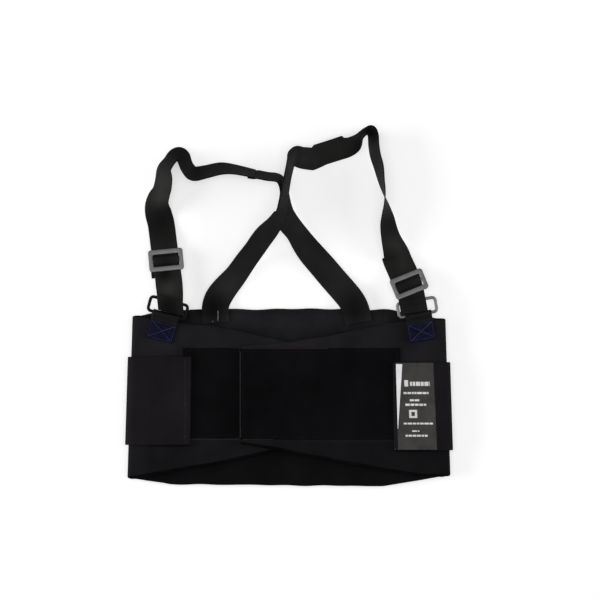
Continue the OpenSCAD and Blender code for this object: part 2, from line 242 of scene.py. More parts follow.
def mesh_piece(name, points, faces, weave=None, smooth=True):
    mesh = bpy.data.meshes.new(name)
    mesh.from_pydata((np.asarray(points) * MM).tolist(), [], [list(map(int, f)) for f in faces])
    if weave is not None:
        layer = mesh.uv_layers.new(name="weave")
        index = np.zeros(len(mesh.loops), np.int32)
        mesh.loops.foreach_get("vertex_index", index)
        layer.data.foreach_set("uv", np.asarray(weave, np.float32)[index].ravel())
        # Light and shade painted per point, which the cloth materials multiply into their colour.
        wear_and_painted_light = mesh.attributes.new("painted_light", "FLOAT", "POINT")
        wear_and_painted_light.data.foreach_set("value", painted_light(np.asarray(points)).astype(np.float32))
    mesh.polygons.foreach_set("use_smooth", np.full(len(mesh.polygons), smooth))
    mesh.update()
    piece = bpy.data.objects.new(name, mesh)
    bpy.context.collection.objects.link(piece)
    return piece


def grid_faces(n, m, first=0, flip=False):
    i, j = np.meshgrid(np.arange(n - 1), np.arange(m - 1), indexing="ij")
    a = (first + i * m + j).ravel()
    quads = np.stack([a, a + m, a + m + 1, a + 1], 1)
    return quads[:, ::-1] if flip else quads


def wall_faces(rings, sides, first=0, closed=False):
    """Faces between rings of points that follow one another, closed if the last meets the first."""
    faces = []
    for k in range(rings if closed else rings - 1):
        near, far = first + k * sides, first + (k + 1) % rings * sides
        for j in range(sides):
            turn = (j + 1) % sides
            faces.append([near + j, near + turn, far + turn, far + j])
    return faces


def cap_faces(rings, sides, first=0):
    """Faces that close the first and the last ring."""
    last = first + (rings - 1) * sides
    return [list(range(first, first + sides))[::-1], list(range(last, last + sides))]


def circle(sides):
    return np.arange(sides) * 2 * math.pi / sides


def edge_share(places, soft, radius):
    """How full a soft edge is at each place: 1 inside, less towards a soft end."""
    full = np.ones(len(places))
    for k, distance in enumerate([places - places[0], places[-1] - places]):
        if soft[k]:
            t = np.clip(distance / radius, 0, 1)
            full = full * (0.2 + 0.8 * np.sqrt(1 - (1 - t) ** 2))
    return full


def soft_edges(p, q, radius, ends=BOTH):
    """How full a sheet is over a grid: soft at its long edges and at those ends of p that are given."""
    return edge_share(p, ends, radius)[:, None] * edge_share(q, BOTH, radius)[None, :]


def slab(name, centre, thickness, weave, full=None, relief=None, under=None):
    """A closed sheet of a thickness about a grid of middle points."""
    n, m = centre.shape[:2]
    normal = unit(np.cross(np.gradient(centre, axis=0), np.gradient(centre, axis=1)))
    full = np.ones((n, m)) if full is None else full
    relief = np.zeros((n, m)) if relief is None else relief
    under = relief if under is None else under
    half = np.broadcast_to(thickness, (n, m)) / 2
    top = centre + normal * ((half + relief) * full)[..., None]
    bottom = centre - normal * ((half + under) * full)[..., None]
    points = np.concatenate([top.reshape(-1, 3), bottom.reshape(-1, 3)])
    faces = [grid_faces(n, m), grid_faces(n, m, n * m, flip=True)]
    rows, cols = np.arange(n) * m, np.arange(m)
    edges = ((rows, False), (rows + m - 1, True), (cols, True), (cols + (n - 1) * m, False))
    for line, turned in edges:
        a, b = line[:-1], line[1:]
        quads = np.stack([a, a + n * m, b + n * m, b], 1)
        faces.append(quads[:, ::-1] if turned else quads)
    both = np.concatenate([weave.reshape(-1, 2)] * 2)
    piece = mesh_piece(name, points, np.concatenate(faces), both)
    piece.data.set_sharp_from_angle(angle=math.radians(60))
    return piece


def tube(name, path, radius):
    """A round cord along a line of points."""
    path, sides = np.asarray(path, float), 8
    ahead = unit(np.gradient(path, axis=0))
    aside = unit(np.cross(UP, ahead))[:, None]
    over = np.cross(ahead, aside[:, 0])[:, None]
    turn = circle(sides)[None, :, None]
    around = aside * np.cos(turn) + over * np.sin(turn)
    ends = edge_share(np.linspace(0, len(path) - 1, len(path)), BOTH, 3)
    points = (path[:, None] + around * (radius * ends)[:, None, None]).reshape(-1, 3)
    return mesh_piece(name, points, wall_faces(len(path), sides) + cap_faces(len(path), sides))


def capsules(name, stitches, radius):
    """Short rounded threads. Each stitch is (start, end, up)."""
    sides, rings = 6, 5
    points, faces = [], []
    for start, end, up in stitches:
        start, end, up = map(np.asarray, (start, end, up))
        along = unit(end - start)
        aside = unit(np.cross(up, along))
        over = np.cross(along, aside)
        faces += wall_faces(rings, sides, len(points)) + cap_faces(rings, sides, len(points))
        for k in range(rings):
            t = k / (rings - 1)
            bulge = math.sin(math.pi * (0.12 + 0.76 * t))
            middle = start + (end - start) * t + over * radius * 0.9 * bulge
            reach = radius * (0.35 + 0.65 * bulge)
            for a in circle(sides):
                points.append(middle + (aside * math.cos(a) + over * math.sin(a)) * reach)
    return mesh_piece(name, np.array(points), faces)


def sew(name, stitches, radius, thread, slot, **holder):
    attach(capsules(name, stitches, radius), thread, slot, **holder)


def stitch_line(points, pitch=3.0, length=2.2, up=UP, jitter=0.12):
    """Stitches along a line of points."""
    points = np.asarray(points, float)
    at = lengths(points)
    found = []
    for k in range(int((at[-1] - length) / pitch) + 1):
        start, end = read_off([k * pitch, k * pitch + length], at, points)
        slip = rng.normal(0, jitter, 3) * (1 - abs(np.asarray(up)))
        found.append((start + slip, end + slip * 0.5, up))
    return found


# ---------------------------------------------------------------- materials

def new_material(name):
    material = bpy.data.materials.new(name)
    material.use_nodes = True
    tree = material.node_tree
    return material, tree, tree.nodes["Principled BSDF"]


def node(tree, kind, **settings):
    made = tree.nodes.new(kind)
    for key, value in settings.items():
        setattr(made, key, value)
    return made


def maths(tree, operation, a, b=None):
    made = node(tree, "ShaderNodeMath", operation=operation)
    for socket, value in zip(made.inputs, (a, b)):
        if isinstance(value, (int, float)):
            socket.default_value = value
        elif value is not None:
            tree.links.new(value, socket)
    return made.outputs[0]


def mixture(tree, *shares):
    """Sum of sockets, each times its share."""
    total = 0.0
    for socket, share in shares:
        total = maths(tree, "ADD", maths(tree, "MULTIPLY", socket, share), total)
    return total


def noise(tree, scale, detail):
    made = node(tree, "ShaderNodeTexNoise")
    made.inputs["Scale"].default_value = scale
    made.inputs["Detail"].default_value = detail
    where = node(tree, "ShaderNodeTexCoord").outputs["Object"]
    tree.links.new(where, made.inputs["Vector"])
    return made.outputs["Fac"]


def tint(tree, shader, factor, dark, light, with_painted_light=False):
    ramp = node(tree, "ShaderNodeValToRGB")
    for stop, place, colour in zip(ramp.color_ramp.elements, (0.3, 0.7), (dark, light)):
        stop.position = place
        stop.color = (*colour, 1)
    tree.links.new(factor, ramp.inputs[0])
    colour = ramp.outputs[0]
    # Scale the colour by the light and shade painted at each point.
    if with_painted_light:
        wear_and_painted_light = node(tree, "ShaderNodeAttribute", attribute_name="painted_light").outputs["Fac"]
        scale = node(tree, "ShaderNodeVectorMath", operation="SCALE")
        tree.links.new(colour, scale.inputs[0])
        tree.links.new(wear_and_painted_light, scale.inputs["Scale"])
        colour = scale.outputs[0]
    tree.links.new(colour, shader.inputs["Base Color"])


def roughen(tree, shader, pattern, amount, least):
    """Roughness that varies with a pattern."""
    wear_and_painted_light = maths(tree, "ADD", maths(tree, "MULTIPLY", pattern, amount), least)
    tree.links.new(wear_and_painted_light, shader.inputs["Roughness"])


def emboss(tree, shader, height, strength, depth):
    bump = node(tree, "ShaderNodeBump")
    bump.inputs["Strength"].default_value = strength
    bump.inputs["Distance"].default_value = depth * MM
    tree.links.new(height, bump.inputs["Height"])
    tree.links.new(bump.outputs[0], shader.inputs["Normal"])


def cloth(name, dark, light, rough, across, along, depth, shine=0.03, sheen=0.0, fuzz=0.0, blotch=22):
    """Woven cloth: threads a pitch apart in millimetres both ways, with uneven colour, wear in its
    roughness, and light and shade painted into its colour.
    """
    material, tree, shader = new_material(name)
    shader.inputs["Specular IOR Level"].default_value = shine
    shader.inputs["Sheen Weight"].default_value = sheen
    shader.inputs["Sheen Roughness"].default_value = 0.45
    split = node(tree, "ShaderNodeSeparateXYZ")
    tree.links.new(node(tree, "ShaderNodeUVMap", uv_map="weave").outputs[0], split.inputs[0])
    u = maths(tree, "SINE", maths(tree, "MULTIPLY", split.outputs[0], 2 * math.pi / along))
    v = maths(tree, "SINE", maths(tree, "MULTIPLY", split.outputs[1], 2 * math.pi / across))
    thread = maths(tree, "MULTIPLY", u, v)
    hair = noise(tree, 1400, 2)
    patches = noise(tree, blotch, 4)
    emboss(tree, shader, mixture(tree, (thread, 1.0), (hair, 0.8 + fuzz)), 0.55, depth)
    shade = mixture(tree, (patches, 0.75), (thread, 0.08), (hair, 0.25))
    tint(tree, shader, shade, dark, light, with_painted_light=True)
    roughen(tree, shader, patches, 0.2, rough - 0.1)
    return material


def metal(name, dark, light, rough):
    material, tree, shader = new_material(name)
    shader.inputs["Metallic"].default_value = 1.0
    patches = noise(tree, 160, 4)
    fine = noise(tree, 2600, 2)
    tint(tree, shader, mixture(tree, (patches, 0.6), (fine, 0.4)), dark, light)
    roughen(tree, shader, fine, 0.22, rough - 0.11)
    emboss(tree, shader, fine, 0.25, 0.05)
    return material


def plastic(name, dark, light, rough, shine, grain=900):
    material, tree, shader = new_material(name)
    shader.inputs["Specular IOR Level"].default_value = shine
    patches = noise(tree, 60, 4)
    tint(tree, shader, patches, dark, light)
    roughen(tree, shader, patches, 0.25, rough - 0.12)
    emboss(tree, shader, noise(tree, grain, 2), 0.3, 0.08)
    return material


def thread(tone, dark, light):
    return plastic("thread_" + tone, dark, light, 0.6, 0.1)


BODY = cloth("body_elastic", (0.0080, 0.0078, 0.0092), (0.0190, 0.0176, 0.0198), 0.85, 0.9, 1.1, 0.10)
BAND = cloth("band_elastic", (0.0078, 0.0068, 0.0084), (0.0155, 0.0135, 0.0160), 0.85, 0.8, 1.0, 0.10)
LOOP = cloth("loop_pile", (0.0026, 0.0026, 0.0031), (0.0062, 0.0062, 0.0072), 0.95, 0.7, 0.7, 0.16,
             shine=0.02, sheen=0.02, fuzz=1.4)
WEBBING = cloth("strap_webbing", (0.0114, 0.0112, 0.0110), (0.0226, 0.0220, 0.0212), 0.62, 0.9, 1.2, 0.12)
ELASTIC = cloth("strap_elastic", (0.0115, 0.0115, 0.0122), (0.0215, 0.0209, 0.0219), 0.68, 0.8, 1.2, 0.12)
TAB = cloth("tab_webbing", (0.0020, 0.0036, 0.0090), (0.0130, 0.0120, 0.0360), 0.75, 0.8, 1.2, 0.2,
            fuzz=0.6, blotch=260)
TAB_ROLL = cloth("tab_webbing_roll", (0.0034, 0.0034, 0.0042), (0.0075, 0.0073, 0.0085), 0.40, 0.8, 1.2,
                 0.12, shine=0.12)
CHANNEL = cloth("channel_tape", (0.0050, 0.0050, 0.0054), (0.0100, 0.0098, 0.0102), 0.8, 0.7, 0.7, 0.10,
                shine=0.05)
# Near-black cord: an overlock hem along the front panels' lower edges, made thick enough to stand for the
# shade under them, and a painted shadow under the pull tabs' lower edges.
HEM_AND_SHADE = plastic("hem_overlock_and_shade", (0.0018, 0.0018, 0.0020), (0.0045, 0.0045, 0.0050), 0.9, 0.02)
HOOK = plastic("hook_tape", (0.004, 0.004, 0.004), (0.008, 0.008, 0.009), 0.5, 0.25)
BUCKLE = metal("buckle_metal", (0.19, 0.19, 0.193), (0.28, 0.28, 0.285), 0.6)
# Near-black copy of the buckle metal for the left ring: painted shade on a ring of the same metal as the
# right one.
BUCKLE_SHADED = plastic("buckle_painted_shade", (0.004, 0.004, 0.005), (0.010, 0.010, 0.011), 0.5, 0.05)
STEEL = metal("stay_steel", (0.42, 0.44, 0.46), (0.62, 0.64, 0.66), 0.3)
VINYL = plastic("label_vinyl", (0.016, 0.0145, 0.0138), (0.048, 0.044, 0.041), 0.42, 0.2, grain=260)
PRINT = plastic("label_print", (0.62, 0.62, 0.60), (0.80, 0.80, 0.78), 0.5, 0.3)
LINING = plastic("label_lining", (0.80, 0.80, 0.81), (0.95, 0.95, 0.96), 0.6, 0.3)
THREAD_BLACK = thread("black", (0.006, 0.006, 0.007), (0.014, 0.014, 0.016))
THREAD_GREY = thread("grey", (0.07, 0.07, 0.08), (0.13, 0.13, 0.14))
THREAD_WHITE = thread("white", (0.30, 0.30, 0.31), (0.45, 0.45, 0.46))
THREAD_DIM = thread("dim", (0.018, 0.018, 0.020), (0.045, 0.045, 0.050))
THREAD_BLUE = thread("blue", (0.016, 0.020, 0.07), (0.050, 0.052, 0.13))
THREAD_LILAC = thread("lilac", (0.030, 0.030, 0.055), (0.085, 0.080, 0.130))
# Pinkish thread colour, laid along a loop panel's top edge as a painted highlight.
THREAD_EDGE_HIGHLIGHT = thread("edge_highlight", (0.020, 0.011, 0.015), (0.045, 0.024, 0.032))


# ---------------------------------------------------------------- belt body and outer band

def rib_relief(u, full, height):
    return (height * np.cos(2 * math.pi * u / RIB))[:, None] * np.ones_like(full)


def belt_grid(xs, lows, highs, zs, nominal, u):
    """Middle points of a belt panel: columns at the stations, rows from its lower to its upper edge.
    The lean of the side folds is that of the nominal x."""
    span = float((highs - lows).mean())
    v = spread(span, 2.6, BOTH, 1.2) / span
    y = lows[:, None] + (highs - lows)[:, None] * v[None, :]
    x = xs[:, None] + lean_shift(nominal[:, None], y)
    z = np.broadcast_to(zs[:, None], y.shape).copy()
    weave = np.stack([np.broadcast_to(u[:, None], y.shape), y], 2)
    return np.stack([x, y, z], 2), weave, v * span


def front_lift(side, x, y):
    """How far a front panel lies off its plane. The right one climbs over the left one, and has a soft wave
    above its loop panel."""
    if side == LEFT:
        return front_drape(x, y)
    above = (y - high("loop_panel_right")[1] - 9) / 6
    wave = 0.45 * np.exp(-above ** 2) * ripple(x, y * 0.2, 17, 8)
    return front_drape(x, y) + step_rise(x) + wave * ease((x + 40) / 40) * ease((112 - x) / 30)


def belt_side(side):
    """Front panel with its side fold, down to the back panel."""
    name = SIDE[side]
    panel = "front_panel_" + name
    end = free_end(panel, side)
    flat = abs(side * FOLD_X - end)
    r = FOLD_R - PANEL_T / 2
    p = spread(flat + math.pi * r + SEAM_IN, RIB / 2, (True, False), 1.2)
    turn = np.clip((p - flat) / r, 0, math.pi)
    past = np.clip(p - flat - math.pi * r, 0, None)
    x_top = end + side * np.minimum(p, flat)
    xs = x_top + side * r * np.sin(turn) - side * past
    zs = FOLD_Z + r * np.cos(turn)
    front_low, front_high = outline(panel, inside_folds(x_top))
    back_low, back_high = outline("back_panel", inside_folds(xs))
    share = ease(turn / math.pi)
    calm = ease((flat - p) / 40)
    lows = front_low + (back_low - front_low) * share + calm * 0.5 * waves(xs, 30, 21 + side)
    highs = front_high + (back_high - front_high) * share + calm * 0.6 * waves(xs, 22, 31 + side)
    at_fold = side * np.maximum(abs(xs), FOLD_X)
    nominal = np.where(turn > 0, np.where(past > 0, xs, at_fold), x_top)
    centre, weave, v = belt_grid(xs, lows, highs, zs, nominal, p)
    centre[..., 2] += front_lift(side, centre[..., 0], centre[..., 1]) * (turn < 0.05)[:, None]
    full = soft_edges(p, v, 1.0, (True, False))
    piece = slab("belt_" + name, centre, PANEL_T, weave, full, rib_relief(p, full, BODY_RELIEF))
    # Overlock hem along the lower edge, thickened and hung below the edge as painted shade.
    hem = centre[:, 0][(turn == 0) & (p > 0.8)] + [0, -1.1, -1.5]
    attach(tube("belt_hem_and_shade_" + name, hem, 1.8), HEM_AND_SHADE, "body_elastic", body=name + "_front")
    hinge = side * FOLD_X
    across_fold = ("back", name + "_front", (hinge, 0, Z_BACK + PANEL_T + 1), (hinge, 0, Z_FRONT - 0.7))
    attach(piece, BODY, "body_elastic", blend=across_fold, replaces=(panel,))


def back_sheet(name, cad, z, thickness, relief, radius, waviness, dye, slot):
    """A flat sheet behind the wearer, from one side fold to the other."""
    edge = FOLD_X - SEAM_IN
    p = spread(2 * edge, RIB / 2, NEITHER)
    xs = p - edge
    lows, highs = outline(cad, xs)
    calm = waviness * ease((edge - abs(xs)) / 30)
    lows = lows + calm * 0.5 * waves(xs, 30, 41)
    highs = highs + calm * 0.9 * waves(xs, 30, 42)
    centre, weave, v = belt_grid(xs, lows, highs, np.full(len(xs), z), xs, p)
    full = soft_edges(p, v, radius, NEITHER)
    piece = slab(name, centre, thickness, weave, full, rib_relief(p, full, relief))
    attach(piece, dye, slot, body="back", replaces=(cad,))


BAND_CORE = BAND_T - 2 * BAND_RELIEF
TAB_ROOT = 2.0
TAB_BEND = 14.0


def tab_blend(side):
    """Names of a front body and its pull tab body, with points at the tab's root by the side fold and where
    its free part begins.
    """
    name = SIDE[side]
    root, bend = side * (FOLD_X - TAB_ROOT), side * (FOLD_X - TAB_BEND)
    return name + "_front", name + "_pull_tab", (root, 0, Z_TOP), (bend, 0, Z_TOP)


def band_fold(side):
    """The outer band's wrap round the side, as far as the root of the pull tab."""
    name = SIDE[side]
    tab = "pull_tab_" + name
    y0, y1 = low(tab)[1], high(tab)[1]
    r = BAND_R - BAND_T / 2
    p = spread(SEAM_IN + math.pi * r + TAB_ROOT, RIB / 2, NEITHER)
    turn = np.clip((p - SEAM_IN) / r, 0, math.pi)
    before = np.clip(SEAM_IN - p, 0, None)
    past = np.clip(p - SEAM_IN - math.pi * r, 0, None)
    xs = side * (FOLD_X - before - past + r * np.sin(turn))
    zs = BAND_R - r * np.cos(turn)
    nominal = side * np.minimum(FOLD_X - before - past, FOLD_X)
    back_low, back_high = outline("outer_band", inside_folds(xs))
    share = ease(turn / math.pi)
    lows = back_low + (y0 - back_low) * share
    highs = back_high + (y1 - back_high) * share
    centre, weave, v = belt_grid(xs, lows, highs, zs, nominal, p)
    full = soft_edges(p, v, 0.8, NEITHER)
    if side == RIGHT:
        centre, weave = centre[:, ::-1], weave[:, ::-1]
    piece = slab("band_fold_" + name, centre, BAND_CORE, weave, full, rib_relief(p, full, BAND_RELIEF))
    hinge = side * FOLD_X
    across_fold = ("back", name + "_front", (hinge, 0, 2.5), (hinge, 0, Z_TOP - 2))
    attach(piece, BAND, "band_elastic", blend=across_fold)


def tab_lift(side, x, y):
    """The free end of a pull tab stands a little off the panel."""
    name = "pull_tab_" + SIDE[side]
    free = np.clip(1 - abs(x - free_end(name, side)) / 46, 0, 1)
    middle = (y - low(name)[1]) / (high(name)[1] - low(name)[1])
    corner = ease(abs(middle - 0.5) * 2.2 - 0.35)
    return 0.9 * free ** 2 * (0.35 + corner) + 0.12 * ripple(x, y, 30, 71 + side) * ease(free * 3)


def pull_tab(side):
    name = "pull_tab_" + SIDE[side]
    end = free_end(name, side)
    root = side * (FOLD_X - TAB_ROOT)
    p = spread(abs(root - end), RIB / 2, (True, False))
    xs = end + side * p
    loose = 0.35 * ease(abs(root - xs) / 12)
    lows = low(name)[1] + loose * waves(xs, 24, 81 + side)
    highs = high(name)[1] + loose * waves(xs, 24, 83 + side)
    centre, weave, v = belt_grid(xs, lows, highs, np.full(len(xs), Z_TOP - BAND_T / 2), xs, p + 3)
    centre[..., 2] += tab_lift(side, centre[..., 0], centre[..., 1])
    full = soft_edges(p, v, 0.8, (True, False))
    relief = rib_relief(p, full, BAND_RELIEF)
    hem = 0.35 * ease((7.6 - p) / 1.2)[:, None] - 0.25 * np.exp(-((p - 6.4) / 0.6) ** 2)[:, None]
    if side == RIGHT:
        hem = hem * 0.4
    if side == LEFT:
        centre, weave = centre[:, ::-1], weave[:, ::-1]
    piece = slab(name.replace("tab", "strap"), centre, BAND_CORE, weave, full, relief + hem, relief)
    attach(piece, BAND, "band_elastic", blend=tab_blend(side), replaces=(name,))


# ---------------------------------------------------------------- hook and loop

def loop_panel(side):
    name = "loop_panel_" + SIDE[side]
    a, b = low(name), high(name)
    p, q = spread(b[0] - a[0], 1.6), spread(b[1] - a[1], 1.6)
    x, y = np.meshgrid(a[0] + p, a[1] + q, indexing="ij")
    y = y + 0.35 * waves(x, 28, 51 + side) * np.sign(y - (a[1] + b[1]) / 2)
    z = Z_LOOP + LOOP_T / 2 + front_drape(x, y)
    if side == RIGHT:
        z = z + step_rise(x)
    pile = 0.10 * np.random.default_rng(61 + side).normal(0, 0.6, x.shape) + 0.06 * ripple(x, y, 7, 62)
    hem = np.minimum(np.minimum(p, p[-1] - p)[:, None], np.minimum(q, q[-1] - q)[None, :])
    groove = -0.28 * np.exp(-((hem - 3.2) / 0.7) ** 2)
    piece = slab(name.replace("panel", "face"), np.stack([x, y, z], 2), LOOP_T, np.stack([x, y], 2),
                 soft_edges(p, q, 0.9), pile + groove, 0 * pile)
    attach(piece, LOOP, "loop_pile", body=SIDE[side] + "_front", replaces=(name,))


def hook(x, y, z0, z1, lean, lift):
    """One tapered hook, bent over at its tip, as three rings of four points."""
    wide, deep = 0.75, 0.5
    points = []
    for z, s, shift in ((z0, 1.0, 0.0), ((z0 + z1) / 2, 0.72, lean * 0.3), (z1, 0.5, lean)):
        for sx, sy in ((-1, -1), (1, -1), (1, 1), (-1, 1)):
            px, py = x + sx * wide * s / 2 + shift, y + sy * deep * s / 2
            points.append([px, py, z + lift(px, py)])
    return points


def hook_patch(cad, lift, **holder):
    """Hook tape that faces down, with its rows of small hooks."""
    a, b = low(cad), high(cad)
    base, pitch, lean = 0.35, 1.7, 0.3
    points, faces = [], []
    for i, x in enumerate(np.arange(a[0] + 1.2, b[0] - 1.0, pitch)):
        for j, y in enumerate(np.arange(a[1] + 1.2, b[1] - 1.0, pitch)):
            first = len(points)
            points += hook(x, y, b[2] - base, a[2] + 0.02, lean if (i + j) % 2 else -lean, lift)
            faces += [f[:1] + f[:0:-1] for f in wall_faces(3, 4, first)]
            faces.append([first + 8, first + 11, first + 10, first + 9])
    hooks = mesh_piece(cad + "_hooks", np.array(points), faces, smooth=False)
    p, q = np.linspace(a[0], b[0], 30), np.linspace(a[1], b[1], 60)
    x, y = np.meshgrid(p, q, indexing="ij")
    middle = np.stack([x, y, b[2] - base / 2 + lift(x, y)], 2)
    tape = slab(cad + "_tape", middle, base, np.stack([x, y], 2), soft_edges(p, q, 1.0))
    attach(hooks, HOOK, "hook_tape", **holder)
    attach(tape, HOOK, "hook_tape", replaces=(cad,), **holder)


# ---------------------------------------------------------------- straps

# Points along each strap: x, y, degrees that it is turned on its edge, and height of its lower edge
WEBBING_LEFT = [
    [-141.2, 185, 0, 1.2], [-142.8, 195, 0, 0.3], [-145.2, 204, -6, 0], [-146.2, 212.5, -18, 0],
    [-145.2, 220, -31, 0], [-142.6, 227.5, -44, 0], [-140.6, 234, -47, 0], [-139.2, 243, -50, 0],
    [-138.6, 254, -57, 0], [-133.4, 262.6, -63, 0], [-128, 269, -60, 0], [-122.4, 271.2, -58, 0],
    [-118, 268.2, -59, 0], [-115.8, 262.4, -61, 0], [-112.4, 255.2, -60, 0],
    [-105.6, 249.2, -57, 0], [-92, 251.4, -60, 0], [-76, 254.8, -62, 0], [-60, 253.8, -68, 0],
    [-38, 249, -71, 0],
]
ELASTIC_RIGHT = [
    [-37.6, 248.9, -71, 0], [-24, 246.2, -71, 0], [-14, 245, -71, 0], [-8.8, 241.5, -72, 0],
    [-6, 234, -73, 0], [-5, 226, -71, 0], [-5, 213, -59, 0], [-4.6, 204.5, -47, 0],
    [-0.6, 195, -36, 0], [8, 184, -38, 0], [16.4, 171.5, -27, 0], [24.5, 161, -16, 0],
    [36.8, 147, -8, 0], [50, 131.5, 0, 0], [60.5, 119.5, 0, 2.4], [68.6, 109.5, 0, 5.9],
    [73.4, 101, 0, 5.9], [76.2, 92, 0, 5.9], [78, 83, 0, 5.9],
]
WEBBING_RIGHT = [
    [120.8, 156, 0, 1.2], [117.6, 164.6, 24, 0.3], [114, 175.2, 41, 0], [111.2, 187, 50, 0],
    [109.8, 197, 57, 0], [109, 206, 68, 0], [108, 217, 82, 0], [105.6, 229.4, 95, 0],
    [102.7, 242.5, 103, 0], [99.9, 257, 110, 0], [96.2, 269.6, 112, 0], [94.4, 281, 112, 0],
    [93.8, 291, 112, 0], [91.4, 297.4, 110, 0], [85.8, 296.4, 104, 0], [81.4, 293.2, 104, 0],
    [78.2, 290, 107, 0], [74.8, 286.8, 116, 0], [71.3, 283.9, 128, 0], [67.5, 281.5, 140, 0],
    [63, 279.6, 146, 0], [58, 277.9, 146, 0], [44, 273.4, 145, 0], [31, 269.2, 146, 0],
]
ELASTIC_LEFT = [
    [29, 265.6, 146, 0], [21.2, 266.2, 144, 0], [14.5, 267.2, 142, 0], [8, 269, 136, 0],
    [4.2, 267.4, 120, 0], [2.4, 263, 108, 0], [1, 257, 106, 0], [-1.4, 246, 105, 0.6],
    [-3.2, 235, 105, 5], [-4.4, 226, 106, 11.6], [-7.4, 212.4, 107, 18.7], [-10, 204.5, 113, 18.4],
    [-15.4, 195, 124, 19.6], [-26.5, 181.5, 138, 15.8], [-37, 167, 138, 4.5], [-47.4, 153, 141, 0],
    [-59, 136.5, 146, 0], [-71.6, 121.5, 160, 0.6], [-79, 110.5, 175, 3.2], [-82, 100.6, 180, 5.9],
    [-81.8, 92, 180, 5.9], [-81, 83, 180, 5.9],
]
STRAP_RIB = 1.3
STRAP_RELIEF = 0.07
STRAP_STEP = 0.6
LAP = 7.0


def route_frames(route, thickness):
    """Middle line and across directions of a strap, by a smooth curve through its points."""
    r = np.array(route, float)
    fine = []
    for i in range(len(r) - 1):
        a, b, c, d = r[max(i - 1, 0)], r[i], r[i + 1], r[min(i + 2, len(r) - 1)]
        for t in np.linspace(0, 1, 24, endpoint=False):
            fine.append(0.5 * (2 * b + (c - a) * t + (2 * a - 5 * b + 4 * c - d) * t * t
                               + (3 * b - a - 3 * c + d) * t ** 3))
    x, y, roll, lift = np.array(fine + [r[-1]]).T
    roll = np.radians(roll)
    z = lift + STRAP_W / 2 * abs(np.sin(roll)) + thickness / 2 * abs(np.cos(roll))
    centre = np.stack([x, y, z], 1)
    along = unit(np.gradient(centre, axis=0))
    sideways = unit(np.cross(UP, along))
    across = np.cos(roll)[:, None] * sideways + np.sin(roll)[:, None] * np.cross(along, sideways)
    return centre, across


def resample(at, centre, across, start, end, soft=BOTH):
    s = spread(end - start, STRAP_RIB / 2, soft, 0.9) + start
    return s, read_off(s, at, centre), read_off(s, at, across)


def strap(name, s, centre, across, thickness, soft=BOTH, width=STRAP_W):
    """A ribbed ribbon with thicker selvedges."""
    v = spread(width, 2.1, BOTH, 0.9)
    full = soft_edges(s, v, 0.7, soft)
    grid = centre[:, None] + across[:, None] * (v - width / 2)[None, :, None]
    selvedge = 0.10 * np.exp(-((np.minimum(v, v[-1] - v) - 1.4) / 0.7) ** 2)
    rib = STRAP_RELIEF * np.cos(2 * math.pi * s / STRAP_RIB)
    weave = np.stack(np.broadcast_arrays(s[:, None], v[None, :]), 2)
    return slab(name, grid, thickness - 2 * STRAP_RELIEF, weave, full, rib[:, None] + selvedge[None, :])


def smooth_join(centre, across, index, reach=9):
    """Round off the join of two stretches of a strap around one point."""
    part = slice(index - reach, index + reach)
    before, after = slice(part.start - 1, part.stop - 1), slice(part.start + 1, part.stop + 1)
    for _ in range(12):
        for values in (centre, across):
            values[part] = (values[part] + (values[before] + values[after]) / 2) / 2
    return centre, unit(across)


def shoulder_strap(side, route, split_y, far, near, split_start):
    """One webbing from the slider round the ring and up, in two stretches: a lower one by the ring and an
    upper one beyond it."""
    name = SIDE[side]
    loop_centre, loop_across = adjuster_path(side)
    centre, across = route_frames(route, WEB_T)
    joined = np.concatenate([loop_centre, centre[6:]])
    joined_across = np.concatenate([-loop_across, across[6:]])
    at = lengths(joined)
    even = np.linspace(0, at[-1], int(at[-1] / STRAP_STEP))
    join = int(np.searchsorted(even, at[len(loop_centre)]))
    middle, turned = smooth_join(read_off(even, at, joined), read_off(even, at, joined_across), join)
    at = lengths(middle)
    past_join = np.arange(len(even)) >= join
    split = at[np.argmax(past_join & (middle[:, 1] >= split_y))]
    on_ring = (name + "_front", name + "_ring", split_start, route[0][:3])
    on_back = ("back", name + "_front", far, near)
    for part, start, end, soft, blend, cad in (
            ("low", 0, split, (True, False), on_ring, "adjuster_webbing_"),
            ("high", split, at[-1], (False, True), on_back, "shoulder_webbing_")):
        piece = strap(f"webbing_{part}_{name}", *resample(at, middle, turned, start, end, soft), WEB_T, soft)
        attach(piece, WEBBING, "strap_webbing", blend=blend, replaces=(cad + name,))
    return at, middle, turned, join


